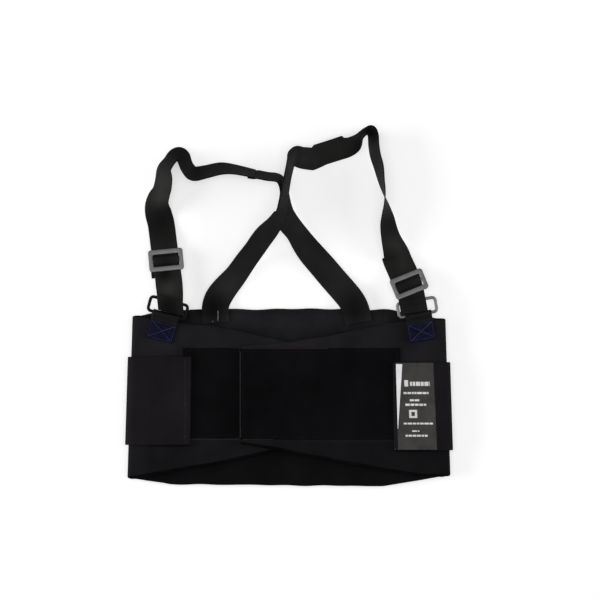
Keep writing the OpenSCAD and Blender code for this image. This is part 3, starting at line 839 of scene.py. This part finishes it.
def elastic_strap(side, route, webbing):
    """Elastic end of a strap, whose first stretch lies sewn under the end of the webbing."""
    name = SIDE[side]
    centre, across = route_frames(route, ELASTIC_T)
    web_at, web_centre, web_across, _ = webbing
    s = np.linspace(web_at[-1] - LAP, web_at[-1] - 0.3, 12)
    lap, lap_across = read_off(s, web_at, web_centre), read_off(s, web_at, web_across)
    through = unit(np.cross(np.gradient(lap, axis=0), lap_across))
    through = through * -np.sign(through[:, 2:])
    shift = (WEB_T + ELASTIC_T) / 2 + 0.02
    drift = centre[0] - web_centre[-1]
    drift = drift - through[-1] * (drift @ through[-1])
    share = ease(np.linspace(0.55, 1, len(s)))[:, None]
    centre = np.concatenate([lap + through * shift + drift * share, centre[5:]])
    across = np.concatenate([lap_across, across[5:]])
    at = lengths(centre)
    even = np.arange(0, at[-1], STRAP_STEP)
    middle, turned = smooth_join(read_off(even, at, centre), read_off(even, at, across),
                                 int(LAP / STRAP_STEP), 8)
    on_floor = STRAP_W / 2 * np.abs(turned[:, 2]) + ELASTIC_T / 2
    middle[:, 2] = np.maximum(middle[:, 2], on_floor)
    at = lengths(middle)
    piece = strap("elastic_" + name, *resample(at, middle, turned, 0, at[-1]), ELASTIC_T)
    attach(piece, ELASTIC, "strap_elastic", body="back", replaces=("elastic_strap_" + name,))
    facing = unit(np.cross(np.gradient(web_centre, axis=0)[-1], web_across[-1]))
    facing = facing * np.sign(facing[2])
    rows = []
    for back in (1.6, 4.6):
        k = np.searchsorted(web_at, web_at[-1] - back) - 1
        base = web_centre[k] + facing * (WEB_T / 2 - 0.05)
        reach = web_across[k] * 13
        rows += stitch_line([base - reach, base + reach], 2.8, 2.0, facing, 0.0)
    sew("lap_stitches_" + name, rows, 0.22, THREAD_BLACK, "strap_webbing", body="back")


# ---------------------------------------------------------------- rings, tabs and adjusters

def ring_frame(side):
    """Middle of the ring's lower bar, the direction along that bar and the one up the ring."""
    joint = JOINTS[SIDE[side] + "_ring_swings"]
    bar = np.array(joint["axis"], float)
    return np.array(joint["pos_m"]) / MM, bar, np.cross(UP, bar)


def adjuster_frame(side):
    """Middle of the ring's upper bar, then across, along and out of the adjuster webbing."""
    origin, _, up_ring = ring_frame(side)
    along = unit(np.array(JOINTS[SIDE[side] + "_slider_slides"]["axis"], float))
    across = unit(np.cross(along, UP))
    return origin + up_ring * RING_SPAN, across, along, np.cross(across, along)


ARC_POINTS = 9


def corner_arcs(corners, r):
    """Points round the corners of a rounded rectangle, each given by its centre and first degree."""
    points = []
    for x, y, first in corners:
        for a in np.radians(np.linspace(first, first + 90, ARC_POINTS)):
            points.append((x + r * math.cos(a), y + r * math.sin(a)))
    return np.array(points)


def ring(side):
    """Wire ring: a round wire along a rounded rectangle, its ends butted and brazed."""
    name = "ring_" + SIDE[side]
    origin, bar, up_ring = ring_frame(side)
    bend, count, sides = 3.5, 150, 16
    inner = 23.0 - WIRE_R - bend
    path = corner_arcs([(inner, bend, -90), (inner, RING_SPAN - bend, 0),
                        (-inner, RING_SPAN - bend, 90), (-inner, bend, 180)], bend)
    path = np.concatenate([path, path[:1]])
    at = lengths(path)
    s = np.linspace(0, at[-1], count, endpoint=False)
    flat = read_off(s, at, path)
    centre = origin + flat[:, :1] * bar + flat[:, 1:] * up_ring
    ahead = unit(np.roll(centre, -1, 0) - np.roll(centre, 1, 0))
    aside = unit(np.cross(UP, ahead))
    braze = at[-1] * 0.06
    swell = 1 + 0.07 * np.exp(-((s - braze) / 0.9) ** 2) + 0.006 * waves(s, 9, 91 + side)
    points = []
    for k in range(count):
        for a in circle(sides):
            points.append(centre[k] + (aside[k] * math.cos(a) + UP * math.sin(a)) * WIRE_R * swell[k])
    piece = mesh_piece("wire_" + name, points, wall_faces(count, sides, closed=True))
    # The left ring takes the near-black copy of the buckle: painted shade.
    ring_material = BUCKLE if side == RIGHT else BUCKLE_SHADED
    attach(piece, ring_material, "buckle_metal", body=SIDE[side] + "_ring", replaces=(name,))


def line_frames(path, origin, along, out):
    """Middle line in space from a path of (distance along, height out) pairs, every half rib."""
    path = np.array(path, float)
    at = lengths(path)
    s = spread(at[-1], STRAP_RIB / 2, BOTH, 0.9)
    flat = read_off(s, at, path)
    return s, origin + flat[:, :1] * along + flat[:, 1:] * out


def loop_path(tail, head, low_z, high_z, r, lead):
    """Side view of webbing that goes down one face, round a bar at 0 and back up the other."""
    path = [(tail, low_z)]
    for t in np.linspace(0, 1, 8):
        path.append((lead * (1 - t) + 0.15 * r * t, low_z + (-r - low_z) * ease(t)))
    for a in np.radians(np.linspace(-90, -270, 17)):
        path.append((r * math.cos(a), r * math.sin(a)))
    for t in np.linspace(0, 1, 8):
        path.append((0.15 * r + (lead - 0.15 * r) * t, r + (high_z - r) * ease(t)))
    return path + [(head, high_z)]


LOOP_R = WIRE_R + 0.08 + WEB_T / 2
LOOP_SLACK = 12.9
SLIDER_AT = {LEFT: 46.0, RIGHT: 19.5}
# Sideways drift of each strap off the line of its adjuster, against the distance from the ring
DRIFT = {LEFT: [(0, 0.2), (10, 0.9), (22, 1.0), (46, 0.1), (60, -0.7), (78, -1.3)],
         RIGHT: [(-12, -6.4), (0, -3.9), (8, -2.4), (20, -0.6), (34, -0.3), (50, -1.0)]}
# Height of the arch in the webbing between ring and slider
ARCH = {LEFT: 1.6, RIGHT: 0.5}


def adjuster_path(side):
    """Middle line and across directions of the webbing from the slider's bar, along its lower layer, round
    the slack end on the ring and back over it up to the end of the adjuster."""
    origin, across, along, out = adjuster_frame(side)
    bar = ring_frame(side)[1]
    head = ((points_of("adjuster_webbing_" + SIDE[side]) - origin) @ along).max()
    start, half = SLIDER_AT[side], WEB_T / 2 + 0.02
    slack = -LOOP_SLACK + half
    swell = lambda y: (LOOP_R - half) * math.exp(-(y / 3.4) ** 2)
    path = [(y, -half) for y in np.arange(start, 8.5, -STRAP_STEP)]
    path += [(y, -half - swell(y)) for y in np.arange(8, slack, -STRAP_STEP)]
    for a in np.radians(np.linspace(-90, -270, 9)):
        path.append((slack + half * math.cos(a), half * math.sin(a)))
    path += [(y, half + swell(y)) for y in np.arange(slack, 8, STRAP_STEP)]
    for y in np.arange(8, head, STRAP_STEP):
        arch = math.sin(math.pi * min(max((y - 3) / (start - 15), 0), 1)) ** 2
        path.append((y, half + ARCH[side] * arch))
    path = np.array(path)
    y, z = path[:, :1], path[:, 1:]
    z = z + np.minimum(y, 0) * math.tan(math.asin(-along[2]))
    share = ease(y / 22)
    turned = unit(bar * (1 - share) + across * share)
    drift = np.interp(path[:, 0], *np.array(DRIFT[side], float).T)[:, None]
    narrow = np.where(y < 0, 0.97, 1.0)
    return origin + y * along + z * out + across * drift, turned * narrow


def strap_tail(side, webbing, start, end, slips, layers):
    """Free end of the webbing that comes out of the slider under the strap's layers."""
    name = SIDE[side]
    at, centre, across, join = webbing
    origin, _, along, _ = adjuster_frame(side)
    local = (centre - origin) @ along
    on_top = np.arange(len(at)) > np.argmin(local[:join]) + 6
    first, last = (at[np.argmax(on_top & (local >= place))] for place in (start, end))
    s, middle, turned = resample(at, centre, across, first, last)
    turned = unit(turned)
    through = unit(np.cross(np.gradient(middle, axis=0), turned))
    through = through * np.sign(through[:, 2:])
    slip = np.interp(s, (first, last), slips)[:, None]
    middle = middle + turned * slip * np.sign(turned[:, :1]) - through * (WEB_T + 0.05) * layers
    middle[:, 2] = np.maximum(middle[:, 2], WEB_T / 2)
    piece = strap("tail_" + name, s, middle, turned, WEB_T - 0.1)
    attach(piece, WEBBING, "strap_webbing", body=name + "_slider")


def rounded_outline(size, r):
    """Points round a rounded rectangle, with more of them along its straight sides."""
    w, h = size[0] / 2 - r, size[1] / 2 - r
    arcs = corner_arcs([(w, h, 0), (-w, h, 90), (-w, -h, 180), (w, -h, 270)], r)
    points = []
    for k, (point, following) in enumerate(zip(arcs, np.roll(arcs, -1, 0))):
        parts = 12 if k % ARC_POINTS == ARC_POINTS - 1 else 1
        points += [point + (following - point) * q / parts for q in range(parts)]
    return np.array(points)


def slider(side, slip):
    """Three-bar slider with rounded edges, and the webbing that passes over its middle bar."""
    name = SIDE[side]
    cad = "slider_" + name
    origin, across, along, out = adjuster_frame(side)
    axes = np.stack([across, along, out])
    local = (points_of(cad) - origin) @ axes.T
    middle = (local.min(0) + local.max(0)) / 2
    size = local.max(0) - local.min(0) + [0.8, 0.8, 0]
    window, rim = np.array([29.0, 13.6]), 14
    place = lambda points: origin + (points + middle) @ axes

    outer, inner = rounded_outline(size, 3.2), rounded_outline(window, 1.2)
    points = []
    for a, b in zip(outer, inner):
        for turn in circle(rim):
            ca, sa = math.cos(turn), math.sin(turn)
            ca, sa = np.sign(ca) * abs(ca) ** 0.6, np.sign(sa) * abs(sa) ** 0.3
            points.append([*((a + b) / 2 + (a - b) / 2 * ca), size[2] / 2 * sa])
    faces = [f[:1] + f[:0:-1] for f in wall_faces(len(outer), rim, closed=True)]
    first, bar_w, bar_t, parts = len(points), 3.2, size[2] * 0.72, 24
    reach = window[0] / 2 + 1.6
    for x in np.linspace(-reach, reach, parts):
        for a in circle(rim):
            points.append([x, bar_w / 2 * math.cos(a), bar_t / 2 * math.sin(a) - 0.2])
    faces += wall_faces(parts, rim, first) + cap_faces(parts, rim, first)
    piece = mesh_piece("frame_" + cad, place(np.array(points)), faces)
    attach(piece, BUCKLE, "buckle_metal", body=name + "_slider", replaces=(cad,))

    top = size[2] / 2 - 0.2 + WEB_T / 2 - 0.25
    foot = -size[2] / 2 - 0.3 - WEB_T * 0.15
    path = []
    for t in np.linspace(-1, 1, 33):
        path.append((t * (window[1] / 2 - 0.6), foot + (top - foot) * ease((1 - abs(t)) * 1.45)))
    s, centre = line_frames(path, np.array([slip, 0, 0]), np.array([0, 1.0, 0]), UP)
    bight = strap("bight_" + name, s, place(centre), np.broadcast_to(across, centre.shape), WEB_T - 0.15,
                  width=28.4)
    attach(bight, WEBBING, "strap_webbing", body=name + "_slider")


def strap_tab(side):
    """Webbing folded round the ring's lower bar, its lower half a navy patch with a sewn cross."""
    name = SIDE[side]
    cad = "strap_tab_" + name
    origin, bar, up_ring = ring_frame(side)
    down = -up_ring
    reach = ((points_of(cad) - origin) @ down).max()
    base = Z_LOOP - origin[2]
    path = loop_path(reach - 0.8, reach, base + WEB_T / 2, base + WEB_T * 1.5 - 0.05, LOOP_R, 8.0)
    s, centre = line_frames(path, origin, down, UP)
    piece = strap("tab_" + name, s, centre, np.broadcast_to(bar, centre.shape), WEB_T - 0.08)
    attach(piece, TAB_ROLL, "tab_webbing", body=name + "_front", replaces=(cad,))
    piece.data.materials.append(TAB)
    centres = np.array([polygon.center[:] for polygon in piece.data.polygons]) / MM
    on_patch = ((centres - origin) @ down > 8.6).astype(np.int32)
    piece.data.polygons.foreach_set("material_index", on_patch)

    wide, corners = STRAP_W / 2 - 1.8, []
    for u, v in ((-wide, 10.2), (wide, 10.2), (wide, reach - 1.6), (-wide, reach - 1.6)):
        corners.append(np.array([*(origin + bar * u + down * v)[:2], Z_LOOP + 2 * WEB_T + 0.02]))
    seams = []
    for a, b in ((0, 1), (1, 2), (2, 3), (3, 0), (0, 2), (1, 3)):
        seams += stitch_line([corners[a], corners[b]], 2.5, 2.0)
        if b - a == 2:
            beside = np.array([0.55, 0.3, 0])
            seams += stitch_line([corners[a] + beside, corners[b] + beside], 2.5, 2.0)
    sew("tab_stitches_" + name, seams, 0.24, THREAD_BLUE, "tab_webbing", body=name + "_front")
    bold = stitch_line([corners[3], corners[1]], 1.6, 1.5)
    sew("tab_cross_" + name, bold, 0.32, THREAD_LILAC, "tab_webbing", body=name + "_front")


# ---------------------------------------------------------------- stays and channels

def channel(number):
    """Tape over a stay, flat at its edges and ends where it is sewn down."""
    name = f"stay_channel_{number}"
    a, b = low(name), high(name)
    p, q = spread(b[1] - a[1], 1.4, BOTH, 0.8), spread(b[0] - a[0], 1.0, BOTH, 0.8)
    y, x = np.meshgrid(a[1] + p, a[0] + q, indexing="ij")
    mid = (a[0] + b[0]) / 2
    bulge = ease((8.6 - abs(x - mid)) / 2.4) * ease((np.minimum(p, p[-1] - p)[:, None] - 2.0) / 4)
    thick = 0.7 + (b[2] - a[2] - 0.8) * bulge + 0.05 * ripple(x, y, 22, 100 + number)
    middle = np.stack([x, y, b[2] - 0.04 - thick / 2], 2)
    piece = slab(f"channel_tape_{number}", middle, thick, np.stack([y, x], 2), soft_edges(p, q, 0.7))
    attach(piece, CHANNEL, "channel_tape", body="back", replaces=(name,))
    z = b[2] - 0.78
    rows = []
    for off in (-8.0, -8.8, 8.0, 8.8):
        rows += stitch_line([[mid + off, a[1] + 1.5, z], [mid + off, b[1] - 1.5, z]], 2.8, 2.1, -UP)
    for end in (a[1] + 1.6, b[1] - 1.6):
        rows += stitch_line([[mid - 7.6, end, z], [mid + 7.6, end, z]], 2.4, 1.9, -UP)
    sew(f"channel_stitches_{number}", rows, 0.2, THREAD_BLACK, "channel_tape", body="back")


# ---------------------------------------------------------------- care label

LABEL_W, LABEL_H = 42, 97
# Plain print on the label, in shares of its width and height: heading, square outline, then the lines
HEADING = (0.21, 0.31, 0.728, 0.800)
SQUARE = [(0.31, 0.52, 0.435, 0.458), (0.31, 0.52, 0.365, 0.388),
          (0.31, 0.37, 0.388, 0.435), (0.46, 0.52, 0.388, 0.435)]
PRINT_LINES = [(0.36, 0.88, 0.734, 0.782), (0.18, 0.84, 0.640, 0.664), (0.34, 0.60, 0.558, 0.580),
               (0.22, 0.78, 0.505, 0.530), (0.16, 0.92, 0.291, 0.311), (0.37, 0.56, 0.206, 0.222),
               (0.20, 0.77, 0.150, 0.172)]


def label_point(u, v, height=0.0):
    """A point of the label, u from its left to its right edge and v from its lower to its upper edge."""
    p = points_of("care_label")
    y0, y1 = p[:, 1].min(), p[:, 1].max()
    top = p[p[:, 1] > y1 - 0.1][:, 0]
    bottom = p[p[:, 1] < y0 + 0.1][:, 0]
    left = bottom.min() + (top.min() - bottom.min()) * v
    right = bottom.max() + (top.max() - bottom.max()) * v
    x, y = left + (right - left) * u, y0 + (y1 - y0) * v
    z = Z_TOP + 0.16 + tab_lift(RIGHT, x, y) + 0.12 * ripple(x, y, 13, 111) + height
    return np.stack(np.broadcast_arrays(x, y, z), -1)


def print_line(u0, u1, v0, v1):
    """A line of plain blocks the size of small print, with a gap after each."""
    blocks, u = [], u0
    while u < u1:
        wide = rng.uniform(0.05, 0.13)
        blocks.append((u, min(u + wide, u1), v0, v1))
        u += wide + 0.018
    return blocks


def label():
    """Vinyl label on the right pull tab, its white edge showing at the left."""
    holder = {"blend": tab_blend(RIGHT)}
    uu, vv = np.meshgrid(np.linspace(0, 1, 44), np.linspace(0, 1, 96), indexing="ij")
    centre = label_point(uu, vv)
    weave = np.stack([uu * LABEL_W, vv * LABEL_H], 2)
    full = soft_edges(weave[:, 0, 0], weave[0, :, 1], 0.5)
    piece = slab("label_sheet", centre, 0.3, weave, full)
    attach(piece, VINYL, "label_vinyl", replaces=("care_label",), **holder)
    uu, vv = np.meshgrid(np.linspace(0, 1, 6), np.linspace(0, 1, 40), indexing="ij")
    grid = label_point((0.012 + 0.158 * vv) * uu, 0.24 + 0.745 * vv, 0.35)
    strip = slab("label_white_edge", grid, 0.05, np.stack([uu * 10, vv * 70], 2))
    attach(strip, LINING, "label_vinyl", **holder)
    words = [HEADING]
    for line in PRINT_LINES:
        words += print_line(*line)
    points, faces = [], []
    for u0, u1, v0, v1 in words + SQUARE:
        uu, vv = np.meshgrid(np.linspace(u0, u1, 7), np.linspace(v0, v1, 5), indexing="ij")
        faces.append(grid_faces(7, 5, len(points) * 35))
        points.append(label_point(uu, vv, 0.2).reshape(-1, 3))
    ink = mesh_piece("label_print", np.concatenate(points), np.concatenate(faces))
    attach(ink, PRINT, "label_vinyl", **holder)


# ---------------------------------------------------------------- seams

def tab_seams(side):
    """Stitches along the long edges and the hem of a pull tab, and a dark cord under its lower edge as a
    painted shadow.
    """
    name = SIDE[side]
    tab = "pull_tab_" + name
    end = free_end(tab, side)
    y0, y1 = low(tab)[1], high(tab)[1]
    holder = {"blend": tab_blend(side)}
    on_tab = lambda x, y: [x, y, Z_TOP + tab_lift(side, x, y) - 0.05]
    rows = []
    for y in (y0 + 3.2, y1 - 3.2):
        rows += stitch_line([on_tab(x, y) for x in np.linspace(end + side * 3, side * (FOLD_X - 18), 30)],
                            3.0, 2.1)
    sew("tab_edge_stitches_" + name, rows, 0.2, THREAD_BLACK, "band_elastic", **holder)
    rows = stitch_line([on_tab(end + side * 6.4, y) for y in np.linspace(y0 + 3, y1 - 3, 40)], 3.2, 2.2)
    sew("tab_hem_stitches_" + name, rows, 0.22, THREAD_DIM, "band_elastic", **holder)
    # Dark cord under the pull tab's lower edge: a painted shadow.
    under = [on_tab(x, y0) for x in np.linspace(end + side * 1.0, side * (FOLD_X - 14), 60)]
    edge = tube("tab_hem_" + name, np.array(under) + [0, -0.1, -BAND_T + 0.4], 0.95)
    attach(edge, HEM_AND_SHADE, "band_elastic", **holder)


def loop_seams(side):
    """Stitches round a loop panel."""
    name = SIDE[side]
    a, b = low("loop_panel_" + name), high("loop_panel_" + name)

    def on_panel(x, y):
        rise = step_rise(x) if side == RIGHT else 0
        return [x, y, Z_LOOP + LOOP_T + front_drape(x, y) - 0.25 + rise]

    rows = []
    for y in (a[1] + 3.2, b[1] - 3.2):
        rows += stitch_line([on_panel(x, y) for x in np.linspace(a[0] + 3, b[0] - 3, 60)], 3.0, 2.1)
    for x in (a[0] + 3.2, b[0] - 3.2):
        rows += stitch_line([on_panel(x, y) for y in np.linspace(a[1] + 3, b[1] - 3, 40)], 3.0, 2.1)
    sew("loop_stitches_" + name, rows, 0.2, THREAD_BLACK, "loop_pile", body=name + "_front")


def loop_threads():
    """Lighter stitches along the edges of the loop panels, with a pinkish line along the top edge of the
    right one as a painted highlight.
    """
    def on_loop(x, y):
        rise = step_rise(x) if x > -54 else 0
        return [x, y, Z_LOOP + LOOP_T + rise + front_drape(x, y) - 0.1]

    rows = stitch_line([on_loop(x, -46.4) for x in np.linspace(-108, -16, 60)], 2.6, 2.2)
    left, right = [r for r in rows if r[0][0] < -56], [r for r in rows if r[0][0] > -52]
    sew("loop_hem_stitches", left, 0.3, THREAD_DIM, "loop_pile", body="left_front")
    sew("loop_hem_stitches_right", right, 0.3, THREAD_DIM, "loop_pile", body="right_front")
    top, end = high("loop_panel_right")[1] - 0.4, low("loop_panel_right")[0] + 0.5
    # Near-continuous pinkish thread along the right loop panel's top edge: a painted highlight where the
    # edge catches light.
    edge_highlight = stitch_line([on_loop(x, top) for x in np.linspace(-52, 44, 70)], 1.9, 1.85)
    sew("loop_edge_highlight", edge_highlight, 0.42, THREAD_EDGE_HIGHLIGHT, "loop_pile", body="right_front")
    edge = stitch_line([on_loop(end, y) for y in np.linspace(-44, 52, 60)], 1.9, 1.85)
    sew("loop_end_thread", edge, 0.3, THREAD_DIM, "loop_pile", body="right_front")


def tab_threads():
    """A knot and small marks on the left pull tab, and light stitches along the right one."""
    on_left, on_right = {"blend": tab_blend(LEFT)}, {"blend": tab_blend(RIGHT)}
    top = high("pull_tab_left")[2]
    start, knot = np.array([-115.6, -43.2, top + 0.5]), []
    for _ in range(9):
        a, b = rng.uniform(0, 6.28), rng.uniform(0.8, 2.2)
        knot.append((start, start + [b * math.cos(a), 0.6 * b * math.sin(a), 0.2], UP))
    sew("tab_knot", knot, 0.5, THREAD_BLUE, "band_elastic", **on_left)
    end, y = low("pull_tab_right")[0], low("pull_tab_right")[1] + 1.4
    dots = []
    for x in np.arange(end + 1.2, end + 46, 3.3):
        z = Z_TOP + tab_lift(RIGHT, x, y) + 0.3
        dots.append(([x, y, z], [x + 1.4, y + 0.2, z], UP))
    sew("tab_lower_stitches", dots, 0.32, THREAD_GREY, "band_elastic", **on_right)
    marks = []
    for x in (-114.5, -156):
        for y in (-2, -8, -15, -23, -30):
            tip = np.array([x + rng.normal(0, 0.3), y + rng.normal(0, 0.8), top + 0.35])
            marks.append((tip, tip + [0.2, 1.8, 0], UP))
    sew("tab_marks", marks, 0.24, THREAD_DIM, "band_elastic", **on_left)


def foot_thread():
    """A loose white thread at the foot of the left elastic strap."""
    z = Z_BACK + PANEL_T + ELASTIC_T + 1.0
    white = [((-79.2, 97, z), (-78.8, 92, z), UP), ((-78.8, 92.4, z), (-79.3, 85.5, z), UP),
             ((-84.6, 85.2, z), (-85.2, 84.2, z), UP)]
    sew("foot_thread", white, 0.24, THREAD_WHITE, "strap_elastic", body="back")


# ---------------------------------------------------------------- build

back_sheet("belt_back", "back_panel", Z_BACK + PANEL_T / 2, PANEL_T, BODY_RELIEF, 1.0, 1.0,
           BODY, "body_elastic")
back_sheet("band_back", "outer_band", BAND_T / 2, BAND_CORE, BAND_RELIEF, 0.8, 0.0, BAND, "band_elastic")
for side in (LEFT, RIGHT):
    belt_side(side)
    loop_panel(side)
    band_fold(side)
    pull_tab(side)
    ring(side)
    strap_tab(side)
for number in range(1, 5):
    channel(number)
    frame["nodes"][f"stay_{number}"].data.materials.clear()
    frame["nodes"][f"stay_{number}"].data.materials.append(STEEL)

hook_patch("hook_panel", front_drape, body="right_front")
for side in (LEFT, RIGHT):
    hook_patch("pull_tab_hook_" + SIDE[side], lambda x, y: tab_lift(side, x, y), blend=tab_blend(side))

left_webbing = shoulder_strap(LEFT, WEBBING_LEFT, 235, (-60, 250, 14), (-138, 236, 14), (-142, 235, 8))
right_webbing = shoulder_strap(RIGHT, WEBBING_RIGHT, 204, (85, 285, 14), (109, 205, 14), (110, 204, 12))
elastic_strap(LEFT, ELASTIC_LEFT, right_webbing)
elastic_strap(RIGHT, ELASTIC_RIGHT, left_webbing)
strap_tail(LEFT, left_webbing, 27.5, 44.0, (-3.6, -3.4), 2)
strap_tail(RIGHT, right_webbing, 21.0, 58.0, (-2.6, -1.7), 1)
slider(LEFT, 0.1)
slider(RIGHT, -0.8)
label()
for side in (LEFT, RIGHT):
    tab_seams(side)
    loop_seams(side)
loop_threads()
tab_threads()
foot_thread()


# ---------------------------------------------------------------- studio

def area_light(name, place, size, power, aim):
    light = bpy.data.lights.new(name, "AREA")
    light.shape = "RECTANGLE"
    light.size, light.size_y = size
    light.energy = power
    lamp = bpy.data.objects.new(name, light)
    bpy.context.collection.objects.link(lamp)
    lamp.location = place
    lamp.rotation_euler = (Vector(aim) - Vector(place)).to_track_quat("-Z", "Y").to_euler()


def studio():
    """Pale paper floor just under the belt, a soft light above and one at either side."""
    reach = 4000
    corners = [[-reach, -reach, 0], [reach, -reach, 0], [reach, reach, 0], [-reach, reach, 0]]
    floor = mesh_piece("floor", corners, [[0, 1, 2, 3]])
    material, _, shader = new_material("floor_paper")
    shader.inputs["Base Color"].default_value = (0.62, 0.62, 0.62, 1)
    shader.inputs["Roughness"].default_value = 0.9
    shader.inputs["Specular IOR Level"].default_value = 0.1
    shader.inputs["Emission Color"].default_value = (1, 1, 1, 1)
    shader.inputs["Emission Strength"].default_value = 0.54
    floor.data.materials.append(material)
    floor.location.z = -0.0006
    area_light("key_above", (0.0, 0.1, 2.6), (2.2, 1.4), 26, (0, 0.1, 0))
    area_light("side_left", (-1.9, 0.15, 0.75), (1.6, 0.9), 30, (-0.05, 0.15, 0))
    area_light("side_right", (1.9, 0.1, 0.75), (1.6, 0.9), 18, (0.05, 0.15, 0))
    world = bpy.data.worlds.new("studio")
    bpy.context.scene.world = world
    world.use_nodes = True
    world.node_tree.nodes["Background"].inputs["Color"].default_value = (1, 1, 1, 1)
    world.node_tree.nodes["Background"].inputs["Strength"].default_value = 0.12
    bpy.context.scene.view_settings.view_transform = "Standard"


def camera():
    """Straight down from far away, with the whole object in a square view."""
    view_width, distance, sensor = 0.669, 6.0, 36.0
    data = bpy.data.cameras.new("camera")
    data.sensor_width = sensor
    data.lens = sensor * distance / view_width
    data.clip_end = 50
    eye = bpy.data.objects.new("camera", data)
    bpy.context.collection.objects.link(eye)
    eye.location = (0.0123, 0.1087, distance)
    bpy.context.scene.camera = eye


studio()
camera()
